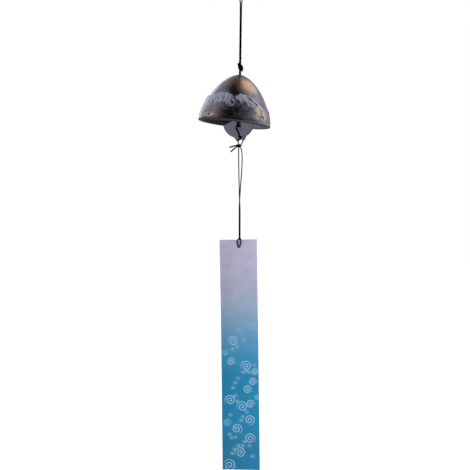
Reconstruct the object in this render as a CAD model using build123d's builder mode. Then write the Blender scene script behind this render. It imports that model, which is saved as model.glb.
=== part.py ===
from build123d import *
import os
from math import acos, atan2, cos, degrees, pi, radians, sin, sqrt, tan

os.makedirs("parts", exist_ok=True)

# Sizes are in millimetres and angles in degrees.
# The origin is the inside of the hanging loop's top, where a hook carries the wind bell.
# +Z is up, and the side that is looked at faces -Y.

# Upper cord, one cord doubled over the hook
cord_diameter = 0.85
strand_gap = 0.1
hook_diameter = 6.0
loop_length = 12.0
bend_gap = 0.5
hanging_length = 63.0
cord_lean = 0.8

# Knot above the crown, and the stretch of cord from it into the bell
crown_knot_width = 4.8
crown_knot_height = 7.0
crown_knot_wraps = 4
crown_wrap_diameter = 1.8
knot_tail_length = 1.4
knot_tail_slant = 20.0
knot_tail_offset = 1.7
knot_tail_ends = 2
neck_length = 4.7
neck_reach = 2.4

# Bell: a cast dome with a rounded lip and a hole through its crown
bell_radius = 35.8
bell_height = 49.9
bell_wall = 3.0
crown_wall = 3.2
bell_tilt = 6.8
dome_rise_power = 1.6
dome_round_power = 1.7
crown_hole_radius = 2.2
crown_hole_flare = 0.9
dome_step_shares = (0.04, 0.12, 0.25, 0.42, 0.62, 0.82)

# Mountain range in relief round the bell: azimuth of each peak from the front,
# and the peak's depth below the crown as a share of the bell's height
relief_height = 0.9
relief_root = 1.0
relief_step_shares = (0.0, 0.25, 0.5, 0.75, 1.0)
lip_height = 5.0
lip_slope = 1.5
peak_shares = [
    (-75, 0.54), (-31, 0.415), (8, 0.435), (27, 0.465), (48, 0.57), (72, 0.66),
    (105, 0.60), (140, 0.46), (172, 0.42), (205, 0.50), (243, 0.56),
]
shoulder_width_share = 0.26
shoulder_drop_share = 0.085
flank_width_share = 0.60
flank_drop_share = 0.29
overrun = 2.0

# Spurs that run down from each peak, one to each side
spur_turns = (-11, 14)
spur_drop_share = 0.30
spur_height = 1.2
spur_width = 8.0
spur_sink = 0.5
spur_length_shares = (0.0, 0.35, 0.7, 1.0)
spur_crest_shares = (0.15, 1.0, 0.75, 0.0)
spur_width_shares = (0.22, 0.55, 0.85, 1.0)

# Knot under the crown, which carries the bell and the clapper
stopper_knot_width = 6.2
stopper_core_width = 5.5
stopper_knot_wraps = 3
stopper_wrap_diameter = 1.7
stopper_wrap_pitch = 1.35
seat_clearance = 0.3

# Clapper: a plate with a slot, and a tab with a hole
clapper_drop = 41.5
clapper_lean = 0.9
clapper_yaw = 15.0
clapper_roll = 6.4
clapper_radius = 16.0
clapper_thickness = 2.6
clapper_edge = 0.3
slot_width = 3.4
slot_top = 7.0
slot_bottom = 4.5
tab_reach = 18.8
tab_root_width = 13.2
tab_root_drop = 13.9
tab_tip_width = 7.8
tab_notch_radius = 2.4
tab_notch_depth = 1.0
tab_hole_drop = 15.3
tab_hole_radius = 1.8

# Clapper cord, in steps right, forward and down from the middle of the stopper knot
clapper_cord_diameter = 1.3
clapper_cord_route = [
    (0.0, 0.0, 3.4), (-0.1, -1.0, 13.0), (-0.3, -2.3, 24.0), (-0.2, -2.5, 33.0),
    (-0.4, -2.4, 39.3), (-0.9, 2.3, 44.4), (-2.7, 2.4, 47.3), (-1.7, 2.3, 51.2),
    (-0.3, 2.5, 53.2), (-0.1, 2.6, 55.2), (0.9, 1.0, 56.0), (1.0, -1.65, 55.85),
]
stop_knot_width = 2.9
stop_knot_height = 2.4
stop_knot_wraps = 2
stop_knot_gap = 0.15

# Thin thread: the bridle through the tab's hole, in steps right, forward and down from the hole
thread_diameter = 0.75
bridle_route = [
    (-1.6, 0.6, 6.6), (-1.8, 2.0, 4.9), (-1.6, 2.15, 2.9), (-0.6, 2.1, 1.45), (-0.1, 0.75, 1.25),
    (0.1, -0.75, 1.25), (0.7, -2.1, 1.45), (2.3, -2.15, 2.9), (1.9, -2.0, 4.9), (0.7, -0.6, 6.6),
]
bridle_knot_step = (-1.3, 0.0, 8.4)
bridle_knot_width = 3.2
bridle_knot_height = 4.4
bridle_knot_wraps = 4
bridle_wrap_diameter = 1.3

# Cut ends of the bridle's knot, in steps from the middle of the knot
upper_tail_route = [(-2.5, 0.4, -0.4), (-5.6, 0.8, 0.2), (-9.7, 1.0, 1.6)]
lower_tail_route = [(-2.5, -0.5, 0.5), (-4.6, -0.7, 2.2), (-8.0, -0.6, 5.4)]

# The two strands down to the strip, in steps across, back and down from the same knot
left_strand_route = [
    (-0.5, 0.0, 1.95), (-0.35, 0.0, 21.0), (0.2, 0.0, 42.0), (0.1, 0.0, 67.0), (0.05, 0.0, 91.6),
]
right_strand_route = [
    (1.5, 0.0, 1.95), (3.3, 0.0, 7.5), (2.7, 0.0, 22.0), (1.2, 0.0, 42.0), (1.1, 0.0, 67.0),
    (1.0, 0.0, 91.6),
]

# Hitch above the strip, and its two loops through the strip's hole, in steps right, forward and down
hitch_step = (0.53, 0.0, 92.9)
hitch_width = 2.6
hitch_height = 1.5
hitch_wraps = 2
strip_loop_route = [
    (0.5, 0.85, 0.85), (1.6, 1.0, 3.0), (0.55, 0.95, 6.6), (0.5, 0.42, 7.4),
    (0.5, -0.42, 7.4), (0.55, -0.95, 6.6), (1.6, -1.0, 3.0), (0.5, -0.85, 0.85),
]

# Paper strip
strip_width = 37.7
strip_length = 229.5
strip_thickness = 0.4
strip_yaw = 10.0
strip_lean = 0.95
strip_hole_radius = 1.3
strip_hole_drop = 6.9
strip_hole_offset = 1.4
strip_hole_below_hitch = 7.9
strip_straight = 45.0
strip_curl = 4.0

corner_share = 0.45
knot_swell_share = 0.25
core_inset_share = 1.2

up = Vector(0, 0, 1)
back = Vector(0, 1, 0)


def turned(angle):
    """The directions across and up of something that leans by this angle in the picture's plane."""
    across = Vector(cos(radians(angle)), 0, -sin(radians(angle)))
    along = Vector(sin(radians(angle)), 0, cos(radians(angle)))
    return across, along


def yawed(angle):
    """The directions right and forward of something whose right side is turned forward by this angle."""
    right = Vector(cos(radians(angle)), -sin(radians(angle)), 0)
    front = Vector(-sin(radians(angle)), -cos(radians(angle)), 0)
    return right, front


def stepped(start, right, front, steps):
    """Points that lie these steps right, forward and down from a start."""
    return [start + right * aside + front * ahead - up * below for aside, ahead, below in steps]


def corner_radii(points):
    """The largest radius that fits the two runs at each corner of a route."""
    radii = []
    for before, corner, after in zip(points, points[1:], points[2:]):
        arriving = corner - before
        leaving = after - corner
        half_turn = radians(arriving.get_angle(leaving)) / 2
        radii.append(corner_share * min(arriving.length, leaving.length) / tan(half_turn))
    return radii


def cord_tube(label, points, diameter):
    """A round cord along straight runs joined by tangent arcs."""
    with BuildPart() as cord:
        with BuildLine() as path:
            if len(points) > 2:
                radii = corner_radii(points)
                FilletPolyline(*points, radius=radii)
                print(label, "radii", [round(r, 1) for r in radii])
            else:
                Line(*points)
        with BuildSketch(Plane(origin=path.line @ 0, z_dir=path.line % 0)):
            Circle(diameter / 2)
        sweep()
    plain_volume = pi * diameter**2 / 4 * path.wire().length
    print(label, "volume over section times length", round(cord.part.volume / plain_volume, 4))
    return finished(cord, label)


def finished(builder, label):
    """The finished piece, labelled and written to its own file."""
    builder.part.label = label
    export_step(builder.part, f"parts/{label}.step")
    return builder.part


def wrapped_knot(label, middle, width, height, wraps, wrap_diameter, core_width=None, pitch=None):
    """A knot as a barrel of wraps round a core, with flat ends, or a ball where a core width is given."""
    wrap_pitch = pitch or (height - wrap_diameter) / max(wraps - 1, 1)
    side = Plane(origin=middle.origin, x_dir=middle.x_dir, z_dir=-middle.y_dir)
    with BuildPart() as knot:
        with BuildSketch(side):
            if core_width:
                Circle(core_width / 2)
            else:
                Rectangle(width - core_inset_share * wrap_diameter, height)
            for wrap in range(wraps):
                along = (wrap - (wraps - 1) / 2) * wrap_pitch
                swell = 1 - knot_swell_share * (along / (height / 2)) ** 2
                with Locations((width / 2 * swell - wrap_diameter / 2, along)):
                    Circle(wrap_diameter / 2)
            split(bisect_by=Plane.YZ)
        revolve(axis=Axis(middle.origin, middle.z_dir))
    return finished(knot, label)


# The hanging loop: over the hook, with its two feet side by side
cord_across, cord_up = turned(cord_lean)
cord_plane = Plane(origin=(0, 0, 0), x_dir=cord_across, z_dir=-back)
cord_radius = cord_diameter / 2
strand_offset = (cord_diameter + strand_gap) / 2
hook_radius = hook_diameter / 2
bend_radius = hook_radius + cord_radius
foot_below_hook = loop_length - hook_radius
foot_distance = sqrt(strand_offset**2 + foot_below_hook**2)
touch_angle = degrees(atan2(-foot_below_hook, strand_offset) + acos(bend_radius / foot_distance))
touch_x = bend_radius * cos(radians(touch_angle))
touch_z = bend_radius * sin(radians(touch_angle)) - hook_radius

with BuildPart() as hanging_loop:
    with BuildLine(cord_plane) as loop_path:
        Line((-strand_offset, -loop_length), (-touch_x, touch_z))
        ThreePointArc((-touch_x, touch_z), (0, cord_radius), (touch_x, touch_z))
        Line((touch_x, touch_z), (strand_offset, -loop_length))
    with BuildSketch(Plane(origin=loop_path.line @ 0, z_dir=loop_path.line % 0)):
        Circle(cord_radius)
    sweep()
finished(hanging_loop, "hanging_loop")


def on_cord(drop, across=0):
    """A point on the hanging cord's line, this far below the hook."""
    return cord_across * across - cord_up * drop


# The two strands, the knot above the crown and the neck into the bell
crown_knot_drop = loop_length + hanging_length
neck_drop = crown_knot_drop + crown_knot_height
crown_drop = neck_drop + neck_length
for side, across in (("left", -strand_offset), ("right", strand_offset)):
    strand = [on_cord(loop_length + bend_gap, across), on_cord(crown_knot_drop, across)]
    cord_tube(f"hanging_strand_{side}", strand, cord_diameter)
    neck = [on_cord(neck_drop, across), on_cord(crown_drop + neck_reach, across)]
    cord_tube(f"neck_strand_{side}", neck, cord_diameter)

crown_knot_middle = Plane(on_cord(crown_knot_drop + crown_knot_height / 2), cord_across, cord_up)
wrapped_knot(
    "crown_knot", crown_knot_middle, crown_knot_width, crown_knot_height,
    crown_knot_wraps, crown_wrap_diameter,
)

# The two cut ends, which leave the knot's lower face beside the neck
tail_across, tail_up = turned(cord_lean - knot_tail_slant)
tail_start = on_cord(neck_drop + strand_gap, knot_tail_offset)
with BuildPart() as crown_knot_tail:
    with BuildSketch(Plane(tail_start, tail_across, -tail_up)):
        with GridLocations(0, cord_diameter + strand_gap, 1, knot_tail_ends):
            Circle(cord_radius)
    extrude(amount=knot_tail_length)
finished(crown_knot_tail, "crown_knot_tail")

# The bell
apex = on_cord(crown_drop)
bell_across, bell_up = turned(bell_tilt)
bell_axis = Axis(apex, bell_up)
bell_side = Plane(origin=apex, x_dir=bell_across, z_dir=-back)


def dome_share(depth_share):
    """The dome's radius at a depth, both as shares of the whole."""
    return (1 - (1 - depth_share) ** dome_rise_power) ** (1 / dome_round_power)


def dome_radius(depth):
    """The outer radius of the plain dome at a depth below the apex."""
    return bell_radius * dome_share(depth / bell_height)


def dome_depth(radius, rim_radius, height):
    """The depth at which a dome of this rim radius and height has a radius."""
    return height * (1 - (1 - (radius / rim_radius) ** dome_round_power) ** (1 / dome_rise_power))


lip_radius = bell_wall / 2
flare_radius = crown_hole_radius + crown_hole_flare
cavity_radius = bell_radius - bell_wall
cavity_height = bell_height - crown_wall
outer_start = (flare_radius, -dome_depth(flare_radius, bell_radius, bell_height))
outer_end = (dome_radius(bell_height - lip_radius), lip_radius - bell_height)
seat_depth = crown_wall + dome_depth(crown_hole_radius, cavity_radius, cavity_height)
inner_start = (crown_hole_radius, -seat_depth)
inner_end = (outer_end[0] - bell_wall, outer_end[1])
outer_middle = [(dome_radius(s * bell_height), -s * bell_height) for s in dome_step_shares]
inner_middle = [
    (cavity_radius * dome_share(s), -crown_wall - s * cavity_height) for s in dome_step_shares
]

# The raised layer that the range is carved from: from the highest peak to the lip
ridge_depth = min(share for azimuth, share in peak_shares) * bell_height
foot_depth = bell_height - lip_height
layer_depths = [ridge_depth + (foot_depth - ridge_depth) * s for s in relief_step_shares]
layer_bottom = (dome_radius(foot_depth + lip_slope) - relief_root, -foot_depth - lip_slope)


def facing(azimuth):
    """The upright plane through the bell's axis that looks out at this azimuth from the front."""
    sideways = bell_across * cos(radians(azimuth)) + back * sin(radians(azimuth))
    outward = bell_across * sin(radians(azimuth)) - back * cos(radians(azimuth))
    return Plane(origin=apex, x_dir=sideways, z_dir=outward)


def peak_outline(peak):
    """Half of a mountain's outline as seen from outside: peak, shoulder, flank, foot."""
    shoulder = (shoulder_width_share * bell_radius, -peak - shoulder_drop_share * bell_height)
    flank = (flank_width_share * bell_radius, -peak - flank_drop_share * bell_height)
    return [(0, -peak), shoulder, flank, (flank[0], -bell_height - overrun)]


def ring_point(azimuth, radius):
    """A point in a level section of the bell."""
    return (radius * sin(radians(azimuth)), -radius * cos(radians(azimuth)))


with BuildPart() as mountain_range:
    for azimuth, share in peak_shares:
        right_half = peak_outline(share * bell_height)
        left_half = [(-x, y) for x, y in reversed(right_half[1:])]
        with BuildSketch(facing(azimuth)):
            with BuildLine():
                Polyline(*right_half, *left_half, close=True)
            make_face()
        extrude(amount=bell_radius + overrun)
    with BuildSketch(bell_side):
        with BuildLine():
            face_curve = Spline(*[(dome_radius(d) + relief_height, -d) for d in layer_depths])
            root_curve = Spline(*[(dome_radius(d) - relief_root, -d) for d in layer_depths])
            Line(face_curve @ 0, root_curve @ 0)
            Polyline(face_curve @ 1, layer_bottom, root_curve @ 1)
        make_face()
    revolve(axis=bell_axis, mode=Mode.INTERSECT)
    for azimuth, share in peak_shares:
        for turn in spur_turns:
            for along, crest, wide in zip(spur_length_shares, spur_crest_shares, spur_width_shares):
                depth = (share + spur_drop_share * along) * bell_height + spur_sink
                face_radius = dome_radius(min(depth, foot_depth)) + relief_height
                heading = azimuth + turn * along
                half_angle = degrees(spur_width * wide / 2 / face_radius)
                with BuildSketch(Plane(apex - bell_up * depth, bell_across, bell_up)):
                    with BuildLine():
                        Polyline(
                            ring_point(heading - half_angle, face_radius - spur_sink),
                            ring_point(heading, face_radius + spur_height * crest - spur_sink / 2),
                            ring_point(heading + half_angle, face_radius - spur_sink),
                            close=True,
                        )
                    make_face()
            loft(ruled=True)

with BuildPart() as bell:
    with BuildSketch(bell_side):
        with BuildLine():
            Spline(outer_start, *outer_middle, outer_end)
            ThreePointArc(outer_end, (outer_end[0] - lip_radius, -bell_height), inner_end)
            Spline(inner_end, *reversed(inner_middle), inner_start)
            Line(inner_start, outer_start)
        make_face()
    revolve(axis=bell_axis)
    add(mountain_range.part)
finished(bell, "bell")

# The knot under the crown: a ball that seats in the edge of the hole
stopper_radius = stopper_knot_width / 2
stopper_depth = seat_depth + sqrt(stopper_radius**2 - crown_hole_radius**2) + seat_clearance
stopper_middle = Plane(apex - bell_up * stopper_depth, bell_across, bell_up)
wrapped_knot(
    "stopper_knot", stopper_middle, stopper_knot_width, stopper_core_width,
    stopper_knot_wraps, stopper_wrap_diameter, stopper_core_width, stopper_wrap_pitch,
)

# The clapper plate
clapper_pivot = stopper_middle.origin
plate_right, plate_front = yawed(clapper_yaw)
lean_aside = clapper_drop * sin(radians(clapper_lean))
lean_down = clapper_drop * cos(radians(clapper_lean))
plate_middle = clapper_pivot - plate_right * lean_aside - up * lean_down
plate_across = plate_right * cos(radians(clapper_roll)) + up * sin(radians(clapper_roll))
plate_up = up * cos(radians(clapper_roll)) - plate_right * sin(radians(clapper_roll))
tab_hole = plate_middle - plate_up * tab_hole_drop

with BuildPart() as clapper:
    with BuildSketch(Plane(plate_middle, plate_across, plate_front)):
        Circle(clapper_radius)
        with BuildLine():
            Polyline(
                (-tab_root_width / 2, -tab_root_drop), (-tab_tip_width / 2, -tab_reach),
                (tab_tip_width / 2, -tab_reach), (tab_root_width / 2, -tab_root_drop), close=True,
            )
        make_face()
        with Locations((0, -tab_reach - tab_notch_radius + tab_notch_depth)):
            Circle(tab_notch_radius, mode=Mode.SUBTRACT)
        with Locations((0, -tab_hole_drop)):
            Circle(tab_hole_radius, mode=Mode.SUBTRACT)
        with Locations((0, (slot_top - slot_bottom) / 2)):
            Rectangle(slot_width, slot_top + slot_bottom, mode=Mode.SUBTRACT)
    extrude(amount=clapper_thickness / 2, both=True)
    faces_out = clapper.faces().filter_by(Axis(plate_middle, plate_front))
    chamfer(faces_out.edges(), clapper_edge)
finished(clapper, "clapper")

# The clapper's cord, threaded through the slot and the tab's hole, with a knot behind the tab
clapper_route = stepped(clapper_pivot, plate_right, plate_front, clapper_cord_route)
cord_tube("clapper_cord", clapper_route, clapper_cord_diameter)
stop_knot_back = stop_knot_gap + stop_knot_height / 2
stop_knot_middle = Plane(clapper_route[-1] - plate_front * stop_knot_back, plate_right, plate_front)
wrapped_knot(
    "clapper_stop_knot", stop_knot_middle, stop_knot_width, stop_knot_height,
    stop_knot_wraps, clapper_cord_diameter,
)

# The bridle and its knot
cord_tube("bridle_loop", stepped(tab_hole, plate_right, plate_front, bridle_route), thread_diameter)
bridle_knot_middle = stepped(tab_hole, plate_right, plate_front, [bridle_knot_step])[0]
wrapped_knot(
    "bridle_knot", Plane(bridle_knot_middle, up, plate_right), bridle_knot_width,
    bridle_knot_height, bridle_knot_wraps, bridle_wrap_diameter,
)
upper_tail = stepped(bridle_knot_middle, plate_right, plate_front, upper_tail_route)
lower_tail = stepped(bridle_knot_middle, plate_right, plate_front, lower_tail_route)
cord_tube("bridle_tail_upper", upper_tail, thread_diameter)
cord_tube("bridle_tail_lower", lower_tail, thread_diameter)

# The two strands down to the strip, and the hitch
picture_right, picture_front = yawed(0)
left_strand = stepped(bridle_knot_middle, picture_right, picture_front, left_strand_route)
right_strand = stepped(bridle_knot_middle, picture_right, picture_front, right_strand_route)
cord_tube("thread_left", left_strand, thread_diameter)
cord_tube("thread_right", right_strand, thread_diameter)
hitch_middle = stepped(bridle_knot_middle, picture_right, picture_front, [hitch_step])[0]
strip_right, strip_front = yawed(strip_yaw)
wrapped_knot(
    "strip_hitch", Plane(hitch_middle, strip_right, up), hitch_width, hitch_height,
    hitch_wraps, thread_diameter,
)
for side, mirror_sign in (("left", -1), ("right", 1)):
    steps = [(mirror_sign * aside, ahead, below) for aside, ahead, below in strip_loop_route]
    loop_points = stepped(hitch_middle, strip_right, strip_front, steps)
    cord_tube(f"strip_loop_{side}", loop_points, thread_diameter)

# The paper strip, straight at its top and curling towards the viewer below
strip_hole = hitch_middle - up * strip_hole_below_hitch
strip_across = strip_right * cos(radians(strip_lean)) + up * sin(radians(strip_lean))
strip_up = up * cos(radians(strip_lean)) - strip_right * sin(radians(strip_lean))
curl_length = strip_length - strip_straight
curl_radius = curl_length**2 / (2 * strip_curl)
strip_centre = strip_hole - strip_across * strip_hole_offset
with BuildPart() as paper_strip:
    with BuildSketch(Plane(strip_centre, strip_front, -strip_across)):
        with BuildLine():
            hang = Line((0, strip_hole_drop), (0, strip_hole_drop - strip_straight))
            JernArc(hang @ 1, hang % 1, curl_radius, degrees(curl_length / curl_radius))
        trace(line_width=strip_thickness)
    extrude(amount=strip_width / 2, both=True)
    with BuildSketch(Plane(strip_hole, strip_across, strip_front)):
        Circle(strip_hole_radius)
    extrude(amount=overrun, both=True, mode=Mode.SUBTRACT)
finished(paper_strip, "paper_strip")

# Where the pieces turn
for name, place in (
    ("below the loop", on_cord(loop_length + bend_gap / 2)), ("stopper knot", clapper_pivot),
    ("tab hole", tab_hole), ("bridle knot", bridle_knot_middle), ("hitch", hitch_middle),
    ("strip hole", strip_hole), ("bell axis", bell_up), ("plate normal", plate_front),
    ("plate right", plate_right), ("strip normal", strip_front),
):
    print(name, [round(x, 5) for x in tuple(place)])
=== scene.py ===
# %% [markdown]
# # A furin wind bell
# A furin is a small cast bell that hangs in the breeze. A paper strip below it catches the wind and
# swings a plate clapper inside the bell. This file dresses the imported CAD model: every piece made
# here stands where its CAD node stands, and all but the hanging cord move with the same body.

# %% Load the imported model
from functools import partial

import bpy
import numpy as np
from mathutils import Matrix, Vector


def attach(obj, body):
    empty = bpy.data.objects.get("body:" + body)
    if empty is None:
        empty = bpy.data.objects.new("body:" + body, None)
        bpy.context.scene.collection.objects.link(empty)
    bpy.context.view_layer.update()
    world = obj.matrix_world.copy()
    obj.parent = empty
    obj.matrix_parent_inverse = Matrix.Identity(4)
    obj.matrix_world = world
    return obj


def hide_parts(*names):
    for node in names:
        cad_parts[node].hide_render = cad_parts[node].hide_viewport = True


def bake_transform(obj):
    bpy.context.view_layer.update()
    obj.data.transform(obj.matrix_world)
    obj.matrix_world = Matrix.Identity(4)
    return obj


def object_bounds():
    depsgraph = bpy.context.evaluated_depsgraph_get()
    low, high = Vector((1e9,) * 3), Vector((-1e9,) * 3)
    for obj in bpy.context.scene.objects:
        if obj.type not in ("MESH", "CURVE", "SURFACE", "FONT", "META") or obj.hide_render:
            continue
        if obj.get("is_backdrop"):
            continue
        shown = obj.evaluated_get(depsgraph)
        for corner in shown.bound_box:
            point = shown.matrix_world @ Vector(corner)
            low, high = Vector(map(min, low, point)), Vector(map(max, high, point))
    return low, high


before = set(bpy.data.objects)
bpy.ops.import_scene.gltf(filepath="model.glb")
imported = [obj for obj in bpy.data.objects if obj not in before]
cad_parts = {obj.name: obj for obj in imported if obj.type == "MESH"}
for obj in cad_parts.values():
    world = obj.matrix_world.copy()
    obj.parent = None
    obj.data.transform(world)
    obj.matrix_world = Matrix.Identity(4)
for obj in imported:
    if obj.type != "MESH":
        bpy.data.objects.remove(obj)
cad_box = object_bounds()
MM = 0.001

# %% [markdown]
# ## Helpers for colours, nodes and meshes
# Colours are easiest to judge as the hex values of a paint card, but a renderer adds light, so it
# needs linear numbers. One function converts them. A second one adds a shader node of any kind, sets
# its values and links it to nodes made before. A third one turns numpy arrays into a mesh.

# %% Colour, node and mesh helpers


def linear(hex_colour):
    """A colour card's sRGB hex value as linear light: the sRGB curve undone for each channel."""
    channels = np.array([int(hex_colour[i:i + 2], 16) for i in (1, 3, 5)]) / 255
    low, high = channels / 12.92, ((channels + 0.055) / 1.055) ** 2.4
    return (*np.where(channels <= 0.04045, low, high), 1.0)


def add_node(tree, kind, inputs=None, stops=(), **settings):
    """Adds one node, sets its properties, and places a ramp's stops, pairs of a share and a hex colour.
    An input is a value, a socket to link, or a node whose first output in use is linked."""
    node = tree.nodes.new("ShaderNode" + kind)
    for name, value in settings.items():
        setattr(node, name, value)
    if stops:
        elements = node.color_ramp.elements
        while len(elements) < len(stops):
            elements.new(1.0)
        for element, (place, colour) in zip(elements, stops):
            element.position = place
            element.color = linear(colour)
    for name, value in (inputs or {}).items():
        if isinstance(value, bpy.types.Node):
            value = next(socket for socket in value.outputs if socket.enabled)
        if isinstance(value, bpy.types.NodeSocket):
            tree.links.new(value, node.inputs[name])
        else:
            node.inputs[name].default_value = value
    return node


def new_material(name):
    """A material with an empty node tree, and add_node for that tree."""
    material = bpy.data.materials.new(name)
    material.use_nodes = True
    material.node_tree.nodes.clear()
    return material, partial(add_node, material.node_tree)


def grid_quads(rows, columns, closed=False):
    """The corner numbers of every cell of a grid of points, joined round its columns where it is closed."""
    across = columns if closed else columns - 1
    row, column = np.meshgrid(np.arange(rows - 1), np.arange(across), indexing="ij")
    after = (column + 1) % columns
    corners = [row * columns + column, row * columns + after]
    corners += [(row + 1) * columns + after, (row + 1) * columns + column]
    return np.stack(corners, -1).reshape(-1, 4)


def put_mesh(name, points, faces, material, masks=None):
    """A smooth-shaded object at the origin from points in metres, with a number per point for each mask."""
    mesh = bpy.data.meshes.new(name)
    mesh.from_pydata(points.reshape(-1, 3), [], [list(face) for face in faces])
    mesh.shade_smooth()
    for mask, values in (masks or {}).items():
        layer = mesh.attributes.new(mask, "FLOAT", "POINT")
        layer.data.foreach_set("value", values.astype(np.float32).ravel())
    piece = bpy.data.objects.new(name, mesh)
    bpy.context.scene.collection.objects.link(piece)
    mesh.materials.append(material)
    return piece


def unit(vectors):
    """Vectors scaled to length one."""
    return vectors / np.linalg.norm(vectors, axis=-1, keepdims=True)


print("hex #808080 is linear", round(float(linear("#808080")[0]), 3))

# %% [markdown]
# ## Camera
# The photograph looks level at the middle of the whole hanging object. From its pixels, one
# millimetre at the bell's plane fills one pixel of the 470 pixel frame, so the lens follows from
# the distance. A long lens from further away keeps the strip's edges as parallel as they are there.

# %% Camera at the photograph's angle
FRAME_WIDTH = 470 * MM
CAMERA_DISTANCE = 1.25
CAMERA_MIDDLE = (-6.2 * MM, -247 * MM)
SENSOR_WIDTH = 36.0

camera_data = bpy.data.cameras.new("camera")
camera_data.sensor_width = SENSOR_WIDTH
camera_data.lens = SENSOR_WIDTH * CAMERA_DISTANCE / FRAME_WIDTH
camera = bpy.data.objects.new("camera", camera_data)
camera.location = (CAMERA_MIDDLE[0], -CAMERA_DISTANCE, CAMERA_MIDDLE[1])
camera.rotation_euler = (np.pi / 2, 0, 0)
bpy.context.scene.collection.objects.link(camera)
bpy.context.scene.camera = camera
print("lens", round(camera_data.lens, 1), "mm")

# %% [markdown]
# ## Studio
# The bell is a dark mirror, so it shows where the lights stand: a bright panel behind its left
# flank, one high on the right that puts the warm patch beside the crown, a small one lower on the
# right for the right flank, and darkness behind the camera that leaves the front nearly black. The
# paper is matt and needs light from the front, which comes from low down, where the bell's front
# doesn't mirror it. Panels are hidden from the camera, which sees pale surroundings instead.

# %% Pale floor
FLOOR_HEIGHT = -0.62
FLOOR_REACH = 14.0

floor_paint, add_floor = new_material("matt_white_floor")
floor_shader = add_floor("BsdfPrincipled", {
    "Base Color": linear("#f4f4f4"), "Roughness": 0.9,
    "Emission Color": linear("#ffffff"), "Emission Strength": 0.9,
})
add_floor("OutputMaterial", {"Surface": floor_shader})
floor_sides = np.array([[-1, -1], [1, -1], [1, 1], [-1, 1]]) * FLOOR_REACH
floor_points = np.column_stack([floor_sides, np.full(4, FLOOR_HEIGHT)])
floor = put_mesh("floor", floor_points, [[0, 1, 2, 3]], floor_paint)
floor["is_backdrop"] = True
print("floor at height", FLOOR_HEIGHT, "m")

# %% Pale surroundings
world = bpy.data.worlds.new("pale_room")
bpy.context.scene.world = world
world.use_nodes = True
world.node_tree.nodes.clear()
add_room = partial(add_node, world.node_tree)
ray = add_room("LightPath")
looking = add_room("TexCoord").outputs["Generated"]
sides = add_room("SeparateXYZ", {0: looking})
# Zero straight behind the camera and one straight ahead of it
back_share = add_room("MapRange", {"Value": sides.outputs["Y"], "From Min": -1.0, "From Max": 1.0})
overhead = add_room("MapRange", {
    "Value": sides.outputs["Z"], "From Min": 0.7, "From Max": 0.95, "To Min": 1.0, "To Max": 0.5})
room_light = add_room("ValToRGB", {"Fac": back_share}, [
    (0.11, "#202022"), (0.16, "#3c3c40"), (0.25, "#66666c"),
    (0.36, "#8a8a92"), (0.5, "#acacb4"), (1.0, "#b4b4ba"),
])
room = add_room("Background", {"Color": room_light, "Strength": overhead})
backdrop = add_room("Background", {"Color": linear("#ffffff"), "Strength": 1.0})
seen_room = add_room("MixShader", {"Fac": ray.outputs["Is Camera Ray"], 1: room, 2: backdrop})
add_room("OutputWorld", {"Surface": seen_room})
print("surroundings:", world.name)

# %% Light panels
BELL_AIM = np.array([-0.004, 0.0, -0.115])
STRIP_AIM = np.array([0.0, 0.0, -0.36])


def panel(name, azimuth, elevation, distance, size, radiance, colour="#ffffff", aim=BELL_AIM):
    """A soft light panel seen from the aim point at this azimuth from the front and this elevation.
    Its power is its brightness times its area times pi."""
    a, e = np.radians([azimuth, elevation])
    direction = np.array([np.sin(a) * np.cos(e), -np.cos(a) * np.cos(e), np.sin(e)])
    data = bpy.data.lights.new(name, "AREA")
    data.shape = "RECTANGLE"
    data.size, data.size_y = size
    data.energy = radiance * np.pi * size[0] * size[1]
    data.color = linear(colour)[:3]
    light = bpy.data.objects.new(name, data)
    place = aim + direction * distance
    across = unit(np.cross(-direction, (0, 0, 1.0)))
    above = np.cross(across, -direction)
    turn = np.column_stack([across, above, direction])
    light.matrix_world = np.vstack([np.column_stack([turn, place]), [0, 0, 0, 1]]).T
    light.visible_camera = False
    bpy.context.scene.collection.objects.link(light)


panel("panel_back_left", -154, 20, 2.0, (1.5, 1.1), 0.74)
panel("panel_high_right", 116, 52, 1.8, (1.4, 1.3), 0.62, "#fff4e6")
panel("panel_right", 98, 22, 2.0, (0.8, 0.6), 0.62)
panel("panel_front_low", -10, -28, 1.5, (1.6, 0.8), 2.0, aim=STRIP_AIM)
bpy.context.scene.view_settings.view_transform = "Standard"

# %% [markdown]
# ## Cord material
# The black cords are twisted from a few plies of polyester yarn, and the thread is waxed. Black yarn
# swallows nearly all light and has no gloss to speak of. The twist itself is geometry, so the
# material only needs streaks of fibre. Real fibres are finer than a pixel, so these are drawn coarser.

# %% Black twisted polyester


def cord_material(name, colour, worn_colour, fibre_mm):
    """Matt yarn: two near-black tones in streaks of this width, which also roughen it a little."""
    material, add = new_material(name)
    place = add("TexCoord").outputs["Object"]
    streaks = add("TexNoise", {"Vector": place, "Scale": 1 / (fibre_mm * MM), "Detail": 3.0})
    tone = add("ValToRGB", {"Fac": streaks}, [(0.35, colour), (0.75, worn_colour)])
    bump = add("Bump", {"Height": streaks, "Strength": 0.4, "Distance": 0.05 * MM})
    shader = add("BsdfPrincipled", {
        "Base Color": tone, "Roughness": 0.85, "Specular IOR Level": 0.0, "Normal": bump})
    add("OutputMaterial", {"Surface": shader})
    return material


black_cord = cord_material("black_polyester_cord", "#020203", "#0b0b0d", 0.25)
waxed_thread = cord_material("black_waxed_thread", "#030304", "#0e0e11", 0.2)
print("cord materials:", black_cord.name, waxed_thread.name)

# %% [markdown]
# ## Cords
# A cord's route is a handful of points. A NURBS spline of order three with those points as its
# controls flows smoothly between them, as a limp cord does. Blender turns the spline into a row of
# points, and a twisted section is then carried along that row: its radius swells once for each ply,
# and the swelling turns as it goes along. The cords are drawn a few tenths of a millimetre thicker
# than their CAD solids, so that they show as strongly as in the photograph.

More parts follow.
